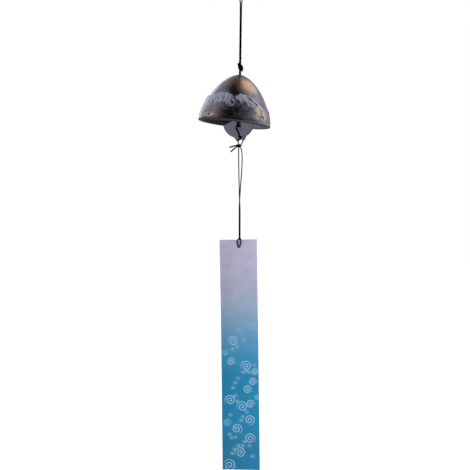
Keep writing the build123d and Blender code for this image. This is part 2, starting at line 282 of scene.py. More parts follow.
# %% Cord tools
UP = np.array([0.0, 0.0, 1.0])
BACK = np.array([0.0, 1.0, 0.0])
SPLINE_STEPS = 16


def spline_points(route):
    """The points of a smooth NURBS line of order three whose control points are the route's."""
    curve = bpy.data.curves.new("route", "CURVE")
    curve.dimensions = "3D"
    curve.resolution_u = SPLINE_STEPS
    spline = curve.splines.new("NURBS")
    spline.points.add(len(route) - 1)
    spline.points.foreach_set("co", np.column_stack([route, np.ones(len(route))]).ravel())
    spline.order_u = 3
    spline.use_endpoint_u = True
    carrier = bpy.data.objects.new("route", curve)
    line = bpy.data.meshes.new_from_object(carrier)
    points = np.empty(len(line.vertices) * 3)
    line.vertices.foreach_get("co", points)
    bpy.data.objects.remove(carrier)
    bpy.data.meshes.remove(line)
    return points.reshape(-1, 3)


def evenly(points, count=None, spacing=None):
    """The same line with this many points, or with points about this far apart, and their places along it."""
    along = np.concatenate([[0], np.cumsum(np.linalg.norm(np.diff(points, axis=0), axis=1))])
    marks = np.linspace(0, along[-1], count or max(int(along[-1] / spacing), 8) + 1)
    return np.column_stack([np.interp(marks, along, axis) for axis in points.T]), marks


def rings_round(points, aside, above, angle, radius):
    """A ring round each point of a line, in the plane of two directions, with a radius for each angle."""
    around = np.cos(angle)[..., None] * aside[:, None] + np.sin(angle)[..., None] * above[:, None]
    return points[:, None] + radius[..., None] * around


def twisted_tube(name, points, marks, diameter, reference, material, plies=3, lay=3.2, depth=0.12, sides=12):
    """A twisted cord along a line: at each point a ring in the plane across the line, of radius
    r * (1 - depth * (1 - |cos(plies / 2 * (angle - turn))|)). Turn grows by a full circle in one lay."""
    forward = unit(np.gradient(points, axis=0))
    aside = unit(np.cross(forward, reference))
    above = np.cross(aside, forward)
    angle = np.linspace(0, 2 * np.pi, sides, endpoint=False)[None, :]
    turn = 2 * np.pi * marks[:, None] / (lay * MM)
    swell = np.abs(np.cos(plies / 2 * (angle - turn)))
    radius = diameter / 2 * (1 - depth * (1 - swell))
    rings = rings_round(points, aside, above, angle, radius)
    rows = len(points)
    ends = [range(sides - 1, -1, -1), range((rows - 1) * sides, rows * sides)]
    return put_mesh(name, rings, [*grid_quads(rows, sides, closed=True), *ends], material)


def put_on(piece, body, node):
    """Lets a piece of cord ride on a body in place of its CAD node."""
    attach(piece, body)
    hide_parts(node)


def cord_piece(name, route, spacing, diameter, reference, material, body, node, **twist):
    """A twisted cord along a route, put on a body. Gives the piece, its line and its length."""
    line, marks = evenly(spline_points(route), spacing=spacing)
    piece = twisted_tube(name, line, marks, diameter, reference, material, **twist)
    put_on(piece, body, node)
    return piece, line, float(marks[-1])


def directions(yaw):
    """Right, forward and down for something whose right side is turned towards the viewer by this angle."""
    c, s = np.cos(np.radians(yaw)), np.sin(np.radians(yaw))
    return np.array([[c, -s, 0], [-s, -c, 0], [0, 0, -1]])


def leaning(angle):
    """Across and up for something that leans to the right in the picture by this angle."""
    c, s = np.cos(np.radians(angle)), np.sin(np.radians(angle))
    return np.array([[c, 0, -s], [s, 0, c]])


def steps_from(start, yaw, steps):
    """Points in metres, from a start and steps in millimetres right, forward and down."""
    return (np.array(start) + np.array(steps) @ directions(yaw)) * MM


print("a quarter turn's right:", np.round(directions(90)[0], 2))

# %% [markdown]
# ## Hanging cord
# One cord is doubled over the hook, and both of its ends go down into the knot above the bell. The
# loop's top is the model's origin. The line leans by less than a degree. The loop stays on its hook
# while the cord below it sways, but this mesh rides on no body and stays where it is made.

# %% Hanging cord
CORD_DIAMETER = 1.25 * MM
CORD_SPACING = 0.3 * MM
CORD_LEAN = 0.8
CORD_ACROSS, CORD_UP = leaning(CORD_LEAN)


def on_cord(across, above):
    """Points in metres from millimetres across and above the hook along the leaning cord."""
    return (np.outer(across, CORD_ACROSS) + np.outer(above, CORD_UP)) * MM


half_across = np.array([-0.54, -0.54, -0.56, -0.9, -3.2, -3.9, -3.1, -1.2])
half_above = np.array([-75.6, -45.0, -16.5, -12.0, -7.2, -3.2, -0.3, 0.45])
hanging_route = on_cord(np.append(half_across, -half_across[::-1]), np.append(half_above, half_above[::-1]))
hanging_line, hanging_marks = evenly(spline_points(hanging_route), spacing=CORD_SPACING)
hanging_cord = twisted_tube("hanging_cord_pair", hanging_line, hanging_marks, CORD_DIAMETER, BACK, black_cord)
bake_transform(hanging_cord)
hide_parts("hanging_loop", "hanging_strand_left", "hanging_strand_right")
print("hanging cord length", round(float(hanging_marks[-1]) / MM, 1), "mm")

# %% Neck strands from the knot into the crown
NECK_ASIDE, NECK_BULGE = 0.475, 1.15
NECK_ABOVE = [-81.2, -85.4, -89.0]
for side, aside in (("left", -NECK_ASIDE), ("right", NECK_ASIDE)):
    neck_route = on_cord([aside, aside * NECK_BULGE, aside], NECK_ABOVE)
    cord_piece(f"neck_cord_{side}", neck_route, CORD_SPACING, CORD_DIAMETER, BACK, black_cord,
               "hanging_cord", f"neck_strand_{side}")
print("neck strands", round(NECK_ABOVE[0] - NECK_ABOVE[-1], 1), "mm long")

# %% [markdown]
# ## Clapper cord
# The thicker cord runs from the knot under the crown down behind the plate, comes forward through
# the plate's slot, and goes back through the hole in the tab, where a knot holds it.

# %% Clapper cord
STOPPER = (-1.91857, 0.0, -92.62942)
CLAPPER_YAW = 15.0
PLATE_RIGHT = directions(CLAPPER_YAW)[0]
CLAPPER_CORD_DIAMETER = 1.5 * MM
CLAPPER_CORD_SPACING = 0.35 * MM
clapper_route = steps_from(STOPPER, CLAPPER_YAW, [
    (0.0, 0.0, 1.5), (-0.1, -1.0, 13.0), (-0.3, -2.3, 24.0), (-0.2, -2.5, 33.0),
    (-0.4, -2.4, 39.3), (-0.9, 2.3, 44.6), (-2.9, 2.4, 47.0), (-1.6, 2.3, 50.6),
    (0.3, 2.4, 53.0), (0.2, 2.5, 55.0), (0.9, 1.0, 56.0), (1.0, -1.9, 55.85),
])
clapper_cord, clapper_line, clapper_length = cord_piece(
    "clapper_cord_twisted", clapper_route, CLAPPER_CORD_SPACING, CLAPPER_CORD_DIAMETER, PLATE_RIGHT,
    black_cord, "clapper", "clapper_cord", lay=4.5)
print("clapper cord length", round(clapper_length / MM, 1), "mm")

# %% [markdown]
# ## Thread to the strip
# A thin waxed thread is looped through the tab's hole, knotted below it, and goes down double to
# the strip. Its two strands part a little, close up, and make a slow half turn round each other.
# Below the hitch two legs of thread go round the strip's top edge and through its hole.

# %% Bridle and its cut ends
THREAD_DIAMETER = 1.1 * MM
THREAD_SPACING = 0.25 * MM
CUT_END_DIAMETER = 1.5 * MM
TAB_HOLE = (-0.90085, -0.2727, -149.32895)
BRIDLE_KNOT = (-2.15655, 0.06377, -157.72895)


def thread_piece(name, route, reference, body, node, diameter=THREAD_DIAMETER):
    """A thin twisted thread of two plies along a route, put on a body."""
    return cord_piece(name, route, THREAD_SPACING, diameter, reference, waxed_thread, body, node,
                      plies=2, lay=2.2, sides=10)


bridle_route = steps_from(TAB_HOLE, CLAPPER_YAW, [
    (-1.5, 0.3, 7.6), (-1.8, 2.0, 4.9), (-1.6, 2.2, 2.9), (-0.6, 2.1, 1.25), (-0.1, 0.75, 1.1),
    (0.1, -0.75, 1.1), (0.7, -2.1, 1.25), (2.3, -2.2, 2.9), (1.9, -2.0, 4.9), (0.5, -0.3, 7.6),
])
_, _, bridle_length = thread_piece("bridle_thread", bridle_route, PLATE_RIGHT, "bridle", "bridle_loop")
CUT_ENDS = {
    "upper": [(-1.2, 0.3, -0.5), (-5.6, 0.8, 0.2), (-9.7, 1.0, 1.6)],
    "lower": [(-1.2, -0.4, -0.2), (-4.8, -0.7, 2.3), (-8.7, -0.6, 5.9)],
}
for end, steps in CUT_ENDS.items():
    thread_piece(f"bridle_cut_end_{end}", steps_from(BRIDLE_KNOT, CLAPPER_YAW, steps), BACK,
                 "bridle", f"bridle_tail_{end}", CUT_END_DIAMETER)
print("bridle length", round(bridle_length / MM, 1), "mm")

# %% Strands, and legs through the strip
LEG_DIAMETER = 1.25 * MM
HITCH = (-1.62655, 0.06377, -250.62895)
STRIP_YAW = 10.0
STRANDS = {
    "left": [(-0.4, 0.0, 0.6), (-0.35, 0.0, 21.0), (0.15, 0.05, 40.0), (0.3, -0.45, 50.0),
             (0.9, -0.3, 60.0), (1.05, 0.0, 70.0), (0.95, 0.0, 92.2)],
    "right": [(0.6, 0.0, 0.6), (3.2, 0.0, 3.6), (3.0, 0.0, 22.0), (1.5, 0.05, 40.0), (0.9, 0.45, 50.0),
              (0.2, 0.4, 60.0), (0.15, 0.0, 70.0), (0.1, 0.0, 92.2)],
}
STRIP_LEGS = {
    "left": [(-0.3, 0.4, 0.35), (-2.7, 1.15, 1.0), (-1.9, 1.15, 6.6), (-1.15, 0.5, 8.9)],
    "right": [(0.3, 0.4, 0.35), (2.0, 1.15, 0.8), (0.8, 1.15, 6.2), (-0.15, 0.5, 8.9)],
}
for side, steps in STRANDS.items():
    strand, line, length = thread_piece(
        f"strand_{side}", steps_from(BRIDLE_KNOT, 0, steps), BACK, "strip_thread", f"thread_{side}")
    print(side, "strand's length", round(length / MM, 1), "mm")
for side, steps in STRIP_LEGS.items():
    behind = [(aside, -ahead, below) for aside, ahead, below in steps[::-1]]
    thread_piece(f"strip_leg_{side}", steps_from(HITCH, STRIP_YAW, steps + behind), directions(STRIP_YAW)[0],
                 "strip_hitch", f"strip_loop_{side}", LEG_DIAMETER)

# %% [markdown]
# ## Knots
# A pulled-tight knot is a small lump of crossing turns. A thick tube along the trefoil curve, the
# closed form of the overhand knot, squeezed to the lump's size, shows those crossing turns from
# every side. It is simpler than a physical knot and reads the same at this size. The turn that the
# clapper's cord takes at the slot is made in the same way.

# %% Knots
KNOT_POINTS, KNOT_SIDES = 180, 14
# The plies of a knot's tube: their depth as a share of its radius, their count, and their turns
PLY_DEPTH, PLY_COUNT, PLY_TURNS = 0.05, 8, 24


def knot(name, middle, lean, half_sizes, tube, material, body, node):
    """A tube along the trefoil curve ((2 + cos 3t) cos 2t, (2 + cos 3t) sin 2t, sin 3t), stretched so that
    its outside has the given half sizes: along a line that leans from upright by an angle in the picture,
    across that line in the picture, and towards the back."""
    t = np.linspace(0, 2 * np.pi, KNOT_POINTS, endpoint=False)
    out = 2 + np.cos(3 * t)
    curve = np.column_stack([out * np.cos(2 * t), out * np.sin(2 * t), np.sin(3 * t)])
    curve *= (np.array(half_sizes) - tube / 2) / np.array([3, 3, 1])
    ahead = unit(np.roll(curve, -1, 0) - np.roll(curve, 1, 0))
    outward = unit(curve - (curve * ahead).sum(1, keepdims=True) * ahead + 1e-6)
    sideways = np.cross(ahead, outward)
    angle = np.linspace(0, 2 * np.pi, KNOT_SIDES, endpoint=False)[None, :]
    plies = 1 - PLY_DEPTH * np.cos(PLY_COUNT * angle + PLY_TURNS * t[:, None])
    rings = rings_round(curve, outward, sideways, angle, tube / 2 * plies)
    across, along = leaning(lean)
    points = (np.array(middle) + rings.reshape(-1, 3) @ np.array([along, across, BACK])) * MM
    quads = grid_quads(KNOT_POINTS + 1, KNOT_SIDES, closed=True) % (KNOT_POINTS * KNOT_SIDES)
    piece = put_mesh(name, points, quads[:, ::-1], material)
    put_on(piece, body, node)
    return piece


def from_stopper(right, forward, down):
    """A place in millimetres, from steps right, forward and down from the stopper knot along the plate."""
    return np.array(STOPPER) + np.array([right, forward, down]) @ directions(CLAPPER_YAW)


# Name, middle, lean in degrees, half sizes and tube in millimetres, material, body and CAD node
KNOTS = [
    ("crown_knot_tied", on_cord([0.25], [-78.9])[0] / MM, -22, (4.7, 2.6, 2.2), 2.3,
     black_cord, "hanging_cord", "crown_knot"),
    ("stopper_knot_tied", STOPPER, 98, (3.1, 3.1, 2.6), 2.3,
     black_cord, "stopper_knot", "stopper_knot"),
    ("clapper_stop_tied", from_stopper(1.05, -0.1, 56.4), 90, (1.75, 1.35, 1.9), 2.1,
     black_cord, "clapper", "clapper_stop_knot"),
    ("bridle_knot_tied", BRIDLE_KNOT, 84, (2.6, 1.9, 1.6), 1.4,
     waxed_thread, "bridle", "bridle_knot"),
    ("clapper_cord_turn", from_stopper(0.0, 1.3, 45.8), 95, (2.4, 1.1, 1.2), 1.5,
     black_cord, "clapper", "clapper_cord"),
    ("strip_hitch_tied", HITCH, 90, (1.5, 1.2, 1.2), 1.1,
     waxed_thread, "strip_hitch", "strip_hitch"),
]
knots = {row[0]: knot(*row) for row in KNOTS}
print("knots:", ", ".join(knots))

# %% Cut ends at the crown knot
CROWN_END_ACROSS = np.array([1.2, 1.9, 2.1])
CROWN_END_ABOVE = [-78.0, -81.0, -83.3]
CROWN_END_ASIDE = 0.4
for number, aside in enumerate((-CROWN_END_ASIDE, CROWN_END_ASIDE)):
    end_route = on_cord(CROWN_END_ACROSS + aside, CROWN_END_ABOVE) + BACK * aside * MM
    cord_piece(f"crown_cut_end_{number + 1}", end_route, CORD_SPACING, CORD_DIAMETER, BACK, black_cord,
               "hanging_cord", "crown_knot_tail")
print("cut ends", 2 * CROWN_END_ASIDE, "mm apart across")

# %% [markdown]
# ## Paper strip
# A stiff paper card hangs from its hole, turned a little to the side. Its lower part curls forward. A
# grid of points in the sheet's own width and length makes it, and the same two numbers place the
# print: spiral curls and dots, the kind of water pattern that is common on such strips.

# %% Shape of the strip
STRIP_WIDTH, STRIP_LENGTH, STRIP_THICKNESS = 37.7, 229.5, 0.4
STRIP_HOLE = (-1.62655, 0.06377, -258.52895)
STRIP_LEAN = np.radians(0.95)
STRAIGHT, CURL = 45.0, 4.0
WAVE_HEIGHT, WAVE_DOWN, WAVE_ACROSS, WAVE_START = 0.25, 31.0, 14.0, 60.0
# The CAD hole's place in the sheet, from the top edge and from the middle, hangs the sheet
HOLE_DROP, HOLE_OFFSET = 6.9, 1.4
# The hole that is drawn is smaller, and lies where both legs of thread pass through the sheet
CUT_RADIUS, CUT_DROP, CUT_OFFSET = 0.95, 7.9, 0.8

strip_right, strip_front, _ = directions(STRIP_YAW)
strip_across = strip_right * np.cos(STRIP_LEAN) + UP * np.sin(STRIP_LEAN)
strip_up = UP * np.cos(STRIP_LEAN) - strip_right * np.sin(STRIP_LEAN)


def strip_surface(across, down):
    """A point of the paper from its place across and down the sheet in millimetres: straight at the
    top, then on a wide arc that carries its foot forward, with a slight wave across."""
    curl_length = STRIP_LENGTH - STRAIGHT
    radius = curl_length**2 / (2 * CURL)
    bend = np.clip(down - STRAIGHT, 0, None) / radius
    along = np.minimum(down, STRAIGHT) + radius * np.sin(bend)
    ahead = radius * (1 - np.cos(bend))
    wave = WAVE_HEIGHT * np.sin(down / WAVE_DOWN + across / WAVE_ACROSS) * np.clip(down / WAVE_START, 0, 1)
    middle = np.array(STRIP_HOLE) - strip_across * HOLE_OFFSET
    flat = middle + across[..., None] * strip_across + (HOLE_DROP - along)[..., None] * strip_up
    return flat + (ahead - wave)[..., None] * strip_front


print("the foot curls", CURL, "mm forward over", STRIP_LENGTH - STRAIGHT, "mm")

# %% Grid of the strip
# Fine cells round the hole and under the print, long ones on the plain paper between them
CELL, PLAIN_CELL, PRINT_ROWS = 0.38, 2.2, 382
HOLE_ZONE, PRINT_TOP = 13.0, 84.0
SNAP_REACH = 0.7 * CELL
down_marks = np.concatenate([
    np.arange(0, HOLE_ZONE, CELL), np.arange(HOLE_ZONE, PRINT_TOP, PLAIN_CELL),
    np.linspace(PRINT_TOP, STRIP_LENGTH, PRINT_ROWS)])
across_marks = np.linspace(-STRIP_WIDTH / 2, STRIP_WIDTH / 2, int(STRIP_WIDTH / CELL) + 1)
DOWN, ACROSS = np.meshgrid(down_marks, across_marks, indexing="ij")
from_hole = np.hypot(ACROSS - CUT_OFFSET, DOWN - CUT_DROP)
# Points near the hole's edge move onto it, so that the hole is round
at_edge = np.abs(from_hole - CUT_RADIUS) < SNAP_REACH
snap = np.where(at_edge, CUT_RADIUS / np.maximum(from_hole, 0.1), 1.0)
ACROSS_CUT = CUT_OFFSET + (ACROSS - CUT_OFFSET) * snap
DOWN_CUT = CUT_DROP + (DOWN - CUT_DROP) * snap
strip_quads = grid_quads(*DOWN.shape)
quad_middle = np.hypot((ACROSS_CUT - CUT_OFFSET).ravel()[strip_quads].mean(1),
                       (DOWN_CUT - CUT_DROP).ravel()[strip_quads].mean(1))
strip_quads = strip_quads[quad_middle > CUT_RADIUS][:, ::-1]
print("strip cells", len(strip_quads))

# %% Print on the strip
# Places across from the sheet's left edge and down from its top edge, and a curl's size, in millimetres.
# Then a curl's strength of ink, the place of its outer end, clockwise from the right in degrees, and 1
# if it winds outwards clockwise or -1 if not. The dots are sorted by their strength of ink.
CURLS = [
    (30.8, 86.3, 5.3, 0.5, 160, -1), (18.5, 91.8, 3.6, 0.42, 150, -1), (12.3, 101.4, 5.5, 1.0, 145, -1),
    (4.2, 113.0, 3.2, 0.55, 0, 1), (9.8, 122.2, 4.3, 0.9, 30, 1), (25.2, 126.3, 5.6, 1.0, 153, -1),
    (34.0, 132.2, 3.8, 0.9, 20, 1), (31.6, 142.0, 4.2, 1.0, 20, 1), (26.0, 149.8, 4.5, 1.0, 32, 1),
    (8.5, 160.4, 5.6, 1.0, 140, -1), (35.7, 157.7, 3.0, 0.6, 20, 1), (20.6, 166.7, 5.6, 1.0, 155, -1),
    (29.0, 164.2, 4.4, 0.95, 15, 1), (27.9, 179.8, 5.4, 1.0, 100, 1), (5.5, 183.1, 4.2, 0.65, 20, 1),
    (15.0, 188.8, 5.4, 1.0, 65, 1), (27.9, 198.4, 5.6, 1.0, 45, 1), (18.2, 212.4, 5.6, 1.0, 150, -1),
    (7.2, 225.2, 6.4, 1.0, 200, -1),
]
DOTS = {
    0.2: [(12.6, 71.8), (7.9, 75.5), (5.7, 81.6)],
    0.7: [(22.9, 100.6), (16.1, 107.0), (11.4, 109.5), (33.5, 125.1)],
    0.8: [
        (22.1, 132.4), (25.2, 131.5), (28.3, 132.5), (17.2, 138.5), (14.0, 142.9), (11.6, 148.0),
        (13.5, 156.0), (15.6, 161.2), (25.2, 171.9), (8.6, 174.8), (21.2, 176.6), (19.5, 180.4),
        (7.7, 194.2), (9.5, 197.8), (13.4, 197.0), (22.7, 201.6), (16.3, 205.4), (20.7, 205.5),
        (27.5, 205.6), (12.3, 209.2), (10.0, 213.2), (30.3, 215.9),
    ],
}
LINE_WIDTH, CURL_TURNS, EDGE = 0.85, 2.2, 0.4
DOT_WIDTH, DOT_HEIGHT, DOT_INK = 2.0, 1.5, 0.75


def soft_step(distance):
    """One inside a printed line and zero outside it, with a soft edge: a ramp through the line's border."""
    return np.clip(0.5 - distance / EDGE, 0, 1)


def curl_print(across, down, middle_across, middle_down, size, end, hand):
    """Ink of one spiral curl. Its arm runs in evenly from its outer end: a place that is a share of a turn
    behind the end lies on the arm where its radius is size * (1 - (share + whole turns) / turns). The
    outer end starts with 0.4 of the ink and has all of it after a third of a turn."""
    x, y = across - middle_across, down - middle_down
    radius = np.hypot(x, y)
    share = hand * (np.radians(end) - np.arctan2(y, x)) / (2 * np.pi) % 1
    whole = np.clip(np.round((1 - radius / size) * CURL_TURNS - share), 0, np.floor(CURL_TURNS - share))
    arm = size * (1 - (share + whole) / CURL_TURNS)
    return soft_step(np.abs(radius - arm) - LINE_WIDTH / 2) * np.clip(0.4 + 2 * (share + whole), 0, 1)


sheet_across = ACROSS + STRIP_WIDTH / 2
ink = np.zeros(DOWN.shape)
for x, y, size, strength, end, hand in CURLS:
    ink = np.maximum(ink, strength * curl_print(sheet_across, DOWN, x, y, size, end, hand))
for strength, places in DOTS.items():
    for x, y in places:
        blot = np.exp(-((sheet_across - x) / DOT_WIDTH) ** 2 - ((DOWN - y) / DOT_HEIGHT) ** 2)
        ink = np.maximum(ink, DOT_INK * strength * blot)
print("printed share of the sheet", round(float(ink[DOWN > PRINT_TOP].mean()), 3))

# %% [markdown]
# ## Paper
# Uncoated paper is matt and a little cloudy, because its fibres clump. The print fades from pale
# lilac to a clear blue, so a ramp down the sheet gives the ground colour. The ink of the curls and
# dots lightens it: thin ink lets the blue through, and full ink is nearly white. The back isn't in
# the photograph. It is plain paper here, with the print faint behind it.

# %% Printed paper
# Clumps of fibres, and the fibres themselves, drawn coarser than real ones so that they show
CLUMP, FIBRE = 9 * MM, 0.6 * MM


def paper_material(name, print_share):
    """Printed paper: a ramp down the sheet and pale curls, over white paper that shows by the rest of
    the share."""
    material, add = new_material(name)
    down_share, across_share, ink_share = [
        add("Attribute", attribute_name=mark).outputs["Fac"]
        for mark in ("down_share", "across_share", "ink")]
    place = add("TexCoord").outputs["Object"]
    ground = add("ValToRGB", {"Fac": down_share}, [
        (0.06, "#d2d1eb"), (0.17, "#cac9e2"), (0.28, "#b4c5e2"), (0.38, "#89b6d9"), (0.44, "#6cadd6"),
        (0.5, "#52a8d3"), (0.6, "#339aca"), (0.81, "#339aca"), (0.9, "#3790bd"),
    ])
    clumps = add("TexNoise", {"Vector": place, "Scale": 1 / CLUMP, "Detail": 3.0})
    fibres = add("TexNoise", {"Vector": place, "Scale": 1 / FIBRE, "Detail": 2.0})
    cloud = add("MapRange", {
        "Value": clumps, "From Min": 0.3, "From Max": 0.7, "To Min": -0.05, "To Max": 0.07})
    paler = add("MapRange", {
        "Value": across_share, "From Min": 0.1, "From Max": 1.0, "To Min": 0.95, "To Max": 1.18})
    lighter = add("Math", {0: cloud, 1: paler}, operation="ADD")
    clouded = add("HueSaturation", {"Color": ground, "Value": lighter})
    thin = add("Mix", {"Factor": ink_share, "A": clouded, "B": linear("#a8e4fb")}, data_type="RGBA")
    full = add("MapRange", {"Value": ink_share, "From Min": 0.45})
    printed = add("Mix", {"Factor": full, "A": thin, "B": linear("#bfe2ff")}, data_type="RGBA")
    seen = add("Mix", {"Factor": print_share, "A": linear("#e9e8ee"), "B": printed}, data_type="RGBA")
    bump = add("Bump", {"Height": fibres, "Strength": 0.25, "Distance": 0.05 * MM})
    shader = add("BsdfPrincipled", {
        "Base Color": seen, "Roughness": 0.9, "Specular IOR Level": 0.05, "Normal": bump})
    add("OutputMaterial", {"Surface": shader})
    return material


paper = paper_material("printed_uncoated_paper", 1.0)
paper_back = paper_material("uncoated_paper_back", 0.3)
print("paper:", paper.name, paper_back.name)

# %% The strip itself
strip = put_mesh("paper_strip_printed", strip_surface(ACROSS_CUT, DOWN_CUT) * MM, strip_quads, paper, {
    "ink": ink, "down_share": DOWN / STRIP_LENGTH, "across_share": sheet_across / STRIP_WIDTH})
thickness = strip.modifiers.new("card", "SOLIDIFY")
thickness.thickness = STRIP_THICKNESS * MM
thickness.offset = 0
strip.data.materials.append(paper_back)
thickness.material_offset = 1
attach(strip, "paper_strip")
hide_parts("paper_strip")
print("strip", STRIP_WIDTH, "by", STRIP_LENGTH, "mm")

# %% [markdown]
# ## Bell
# The bell is one casting: a dome with a rounded lip, thick walled, with a range of snowy mountains
# raised on its outside. Its profile is turned round the axis, and the outer wall is then moved along
# its normal by a height map. The map adds up a raised layer below the skyline, spurs that run down
# from each peak like the folds of a tent, and rock that is rough in a finer and finer way. The layer
# runs out over the lip.

# %% Profile of the bell
BELL_RADIUS, BELL_HEIGHT, BELL_WALL, CROWN_WALL = 35.8, 49.9, 3.0, 3.2
RISE_POWER, ROUND_POWER = 1.6, 1.7
HOLE_FLARE, CROWN_HOLE = 3.1, 2.2
BELL_TILT = 6.8
BELL_ACROSS, BELL_UP = leaning(BELL_TILT)
APEX = on_cord([0.0], [-86.7])[0] / MM
LIP = BELL_WALL / 2
OUTER_ROWS, INNER_ROWS, LIP_ROWS, HOLE_ROWS = 146, 32, 12, 3


def dome_radius(depth, radius=BELL_RADIUS, height=BELL_HEIGHT):
    """The dome's radius at a depth: radius * (1 - (1 - depth / height)^1.6)^(1 / 1.7)."""
    return radius * (1 - (1 - np.clip(depth / height, 0, 1)) ** RISE_POWER) ** (1 / ROUND_POWER)


def dome_depth(radius, rim=BELL_RADIUS, height=BELL_HEIGHT):
    """The same curve the other way round: the depth at a radius."""
    return height * (1 - (1 - (radius / rim) ** ROUND_POWER) ** (1 / RISE_POWER))


fine = np.linspace(0, 1, 2000) ** 2
outer_depth = dome_depth(HOLE_FLARE) + (BELL_HEIGHT - LIP - dome_depth(HOLE_FLARE)) * fine
outer, _ = evenly(np.column_stack([dome_radius(outer_depth), outer_depth]), OUTER_ROWS)
cavity = (BELL_RADIUS - BELL_WALL, BELL_HEIGHT - CROWN_WALL)
inner_top = dome_depth(CROWN_HOLE, *cavity)
inner_depth = inner_top + (cavity[1] - LIP - inner_top) * fine
inner_curve = np.column_stack([dome_radius(inner_depth, *cavity), inner_depth + CROWN_WALL])
inner = evenly(inner_curve, INNER_ROWS)[0][::-1]
lip_angle = np.linspace(0, np.pi, LIP_ROWS + 2)[1:-1]
lip_middle = (outer[-1] + inner[0]) / 2
lip = lip_middle + LIP * np.column_stack([np.cos(lip_angle), np.sin(lip_angle)])
hole = np.linspace(inner[-1], outer[0], HOLE_ROWS + 2)[1:-1]
profile = np.concatenate([outer, lip, inner, hole])
print("profile points", len(profile), "mouth", round(2 * float(profile[:, 0].max()), 1), "mm")

# %% [markdown]
# ### Mountains
# The skyline is a line round the bell, given by a place in degrees from the front and a depth below
# the crown for each of its corners. Ridges run down from it, and gullies between them. Each is a
# line of such places too, with a height and a width in millimetres, and makes a tent along it.

# %% Skyline, ridges and gullies
SKYLINE = [
    (-180, 21.5), (-165, 25.5), (-155, 24.6), (-140, 28.4), (-126, 27.6), (-117, 24.4), (-109, 27.4),
    (-101, 23.2), (-96, 25.4), (-90, 24.6), (-78, 26.2), (-65, 25.8), (-53, 24.8), (-44, 23.6),
    (-36, 22.0), (-30, 22.5), (-22, 21.6), (-13, 23.6), (-6, 25.6), (0, 24.0), (6, 21.9), (14, 22.8),
    (25, 23.4), (36, 26.2), (47, 30.2), (57, 33.8), (67, 36.2), (76, 36.9), (82, 34.9), (88, 34.8),
    (97, 30.4), (101, 31.6), (109, 27.6), (115, 29.2), (124, 25.6), (130, 27.0), (140, 22.5),
    (151, 25.6), (160, 23.8), (172, 20.6), (180, 21.5),
]
RIDGES = [
    ([(-36, 22), (-42, 26.5), (-47, 31), (-53, 37)], 0.6, 3.4),
    ([(-30, 22.5), (-31, 27), (-27, 33)], 0.5, 2.6),
    ([(-22, 21.6), (-18, 25.5), (-20, 30), (-14, 35)], 0.6, 3.0),
    ([(-14, 23.4), (-12, 27), (-10, 32)], 0.5, 2.4), ([(-53, 24.8), (-58, 29), (-66, 35)], 0.4, 3.6),
    ([(-40, 22.8), (-36, 27), (-38, 32)], 0.4, 2.4),
    ([(6, 21.9), (1, 25.5), (3, 29.5), (0, 33.5)], 0.6, 2.8),
    ([(7, 22.1), (13, 26.5), (18, 31), (26, 37)], 0.7, 3.2),
    ([(19, 22.6), (29, 27), (36, 32), (46, 39)], 0.7, 3.2),
    ([(32, 25), (41, 30.5), (52, 36), (60, 42)], 0.7, 3.4), ([(10, 23), (8, 28), (11, 33)], 0.4, 2.2),
    ([(24, 24), (25, 29), (33, 35)], 0.45, 2.4), ([(-90, 23.6), (-84, 30), (-88, 37)], 0.4, 4.2),
    ([(-100, 23.8), (-104, 30), (-98, 38)], 0.6, 4.2), ([(-117, 26), (-111, 31), (-115, 39)], 0.7, 4.2),
    ([(-117, 26), (-126, 32), (-122, 40)], 0.7, 4.2), ([(76, 36.2), (70, 39), (72, 43)], 0.5, 3.8),
    ([(105, 29.4), (97, 34), (93, 41)], 0.7, 4.2), ([(105, 29.4), (112, 34), (110, 41)], 0.7, 4.2),
    ([(140, 22.5), (130, 28), (125, 36)], 0.7, 4.0), ([(140, 22.5), (142, 29), (137, 37)], 0.6, 3.4),
    ([(140, 22.5), (150, 29), (153, 37)], 0.7, 3.8),
    ([(172, 20.6), (163, 26), (166, 33), (160, 40)], 0.7, 3.6),
    ([(172, 20.6), (176, 27), (173, 35)], 0.6, 3.2),
    ([(172, 20.6), (185, 27), (190, 35), (187, 41)], 0.7, 3.6),
    ([(205, 24.6), (199, 30), (203, 38)], 0.6, 3.6), ([(205, 24.6), (214, 30), (218, 38)], 0.7, 3.8),
]
GULLIES = [
    ([(-13, 28.8), (-3, 33.6)], 1.1, 2.5), ([(-6, 25.6), (7, 32.6)], 1.3, 2.8),
    ([(19, 24.4), (27, 26.8), (35, 29.8), (41, 32.4)], 1.2, 3.0), ([(-26, 25.5), (-22, 31)], 0.6, 1.2),
    ([(11, 26), (17, 33)], 0.6, 1.2), ([(-37, 26), (-33, 32)], 0.5, 1.0),
    ([(134, 28), (131, 35)], 0.8, 1.3), ([(146, 27), (148, 35)], 0.8, 1.3),
    ([(168, 25), (169, 33)], 0.8, 1.3), ([(181, 25), (183, 33)], 0.8, 1.3),
    ([(101, 33), (102, 40)], 0.7, 1.3), ([(209, 29), (209, 37)], 0.8, 1.3),
    ([(240, 29), (241, 37)], 0.7, 1.3),
]
COLUMNS = 480
# A tent's line wavers, it starts narrow, and it fades at both ends of its length
WAVER, WAVER_RATE = 0.02, 1.3
TENT_TOP_SHARE = 0.35
REACH_ALONG, REACH_SHARES = [-0.08, 0.0, 0.25, 0.7, 1.0], [0.0, 0.7, 1.0, 0.7, 0.0]
azimuths = np.linspace(-np.pi, np.pi, COLUMNS, endpoint=False)
DEPTH, AZIMUTH = np.meshgrid(outer[:, 1], azimuths, indexing="ij")
ring = dome_radius(DEPTH)


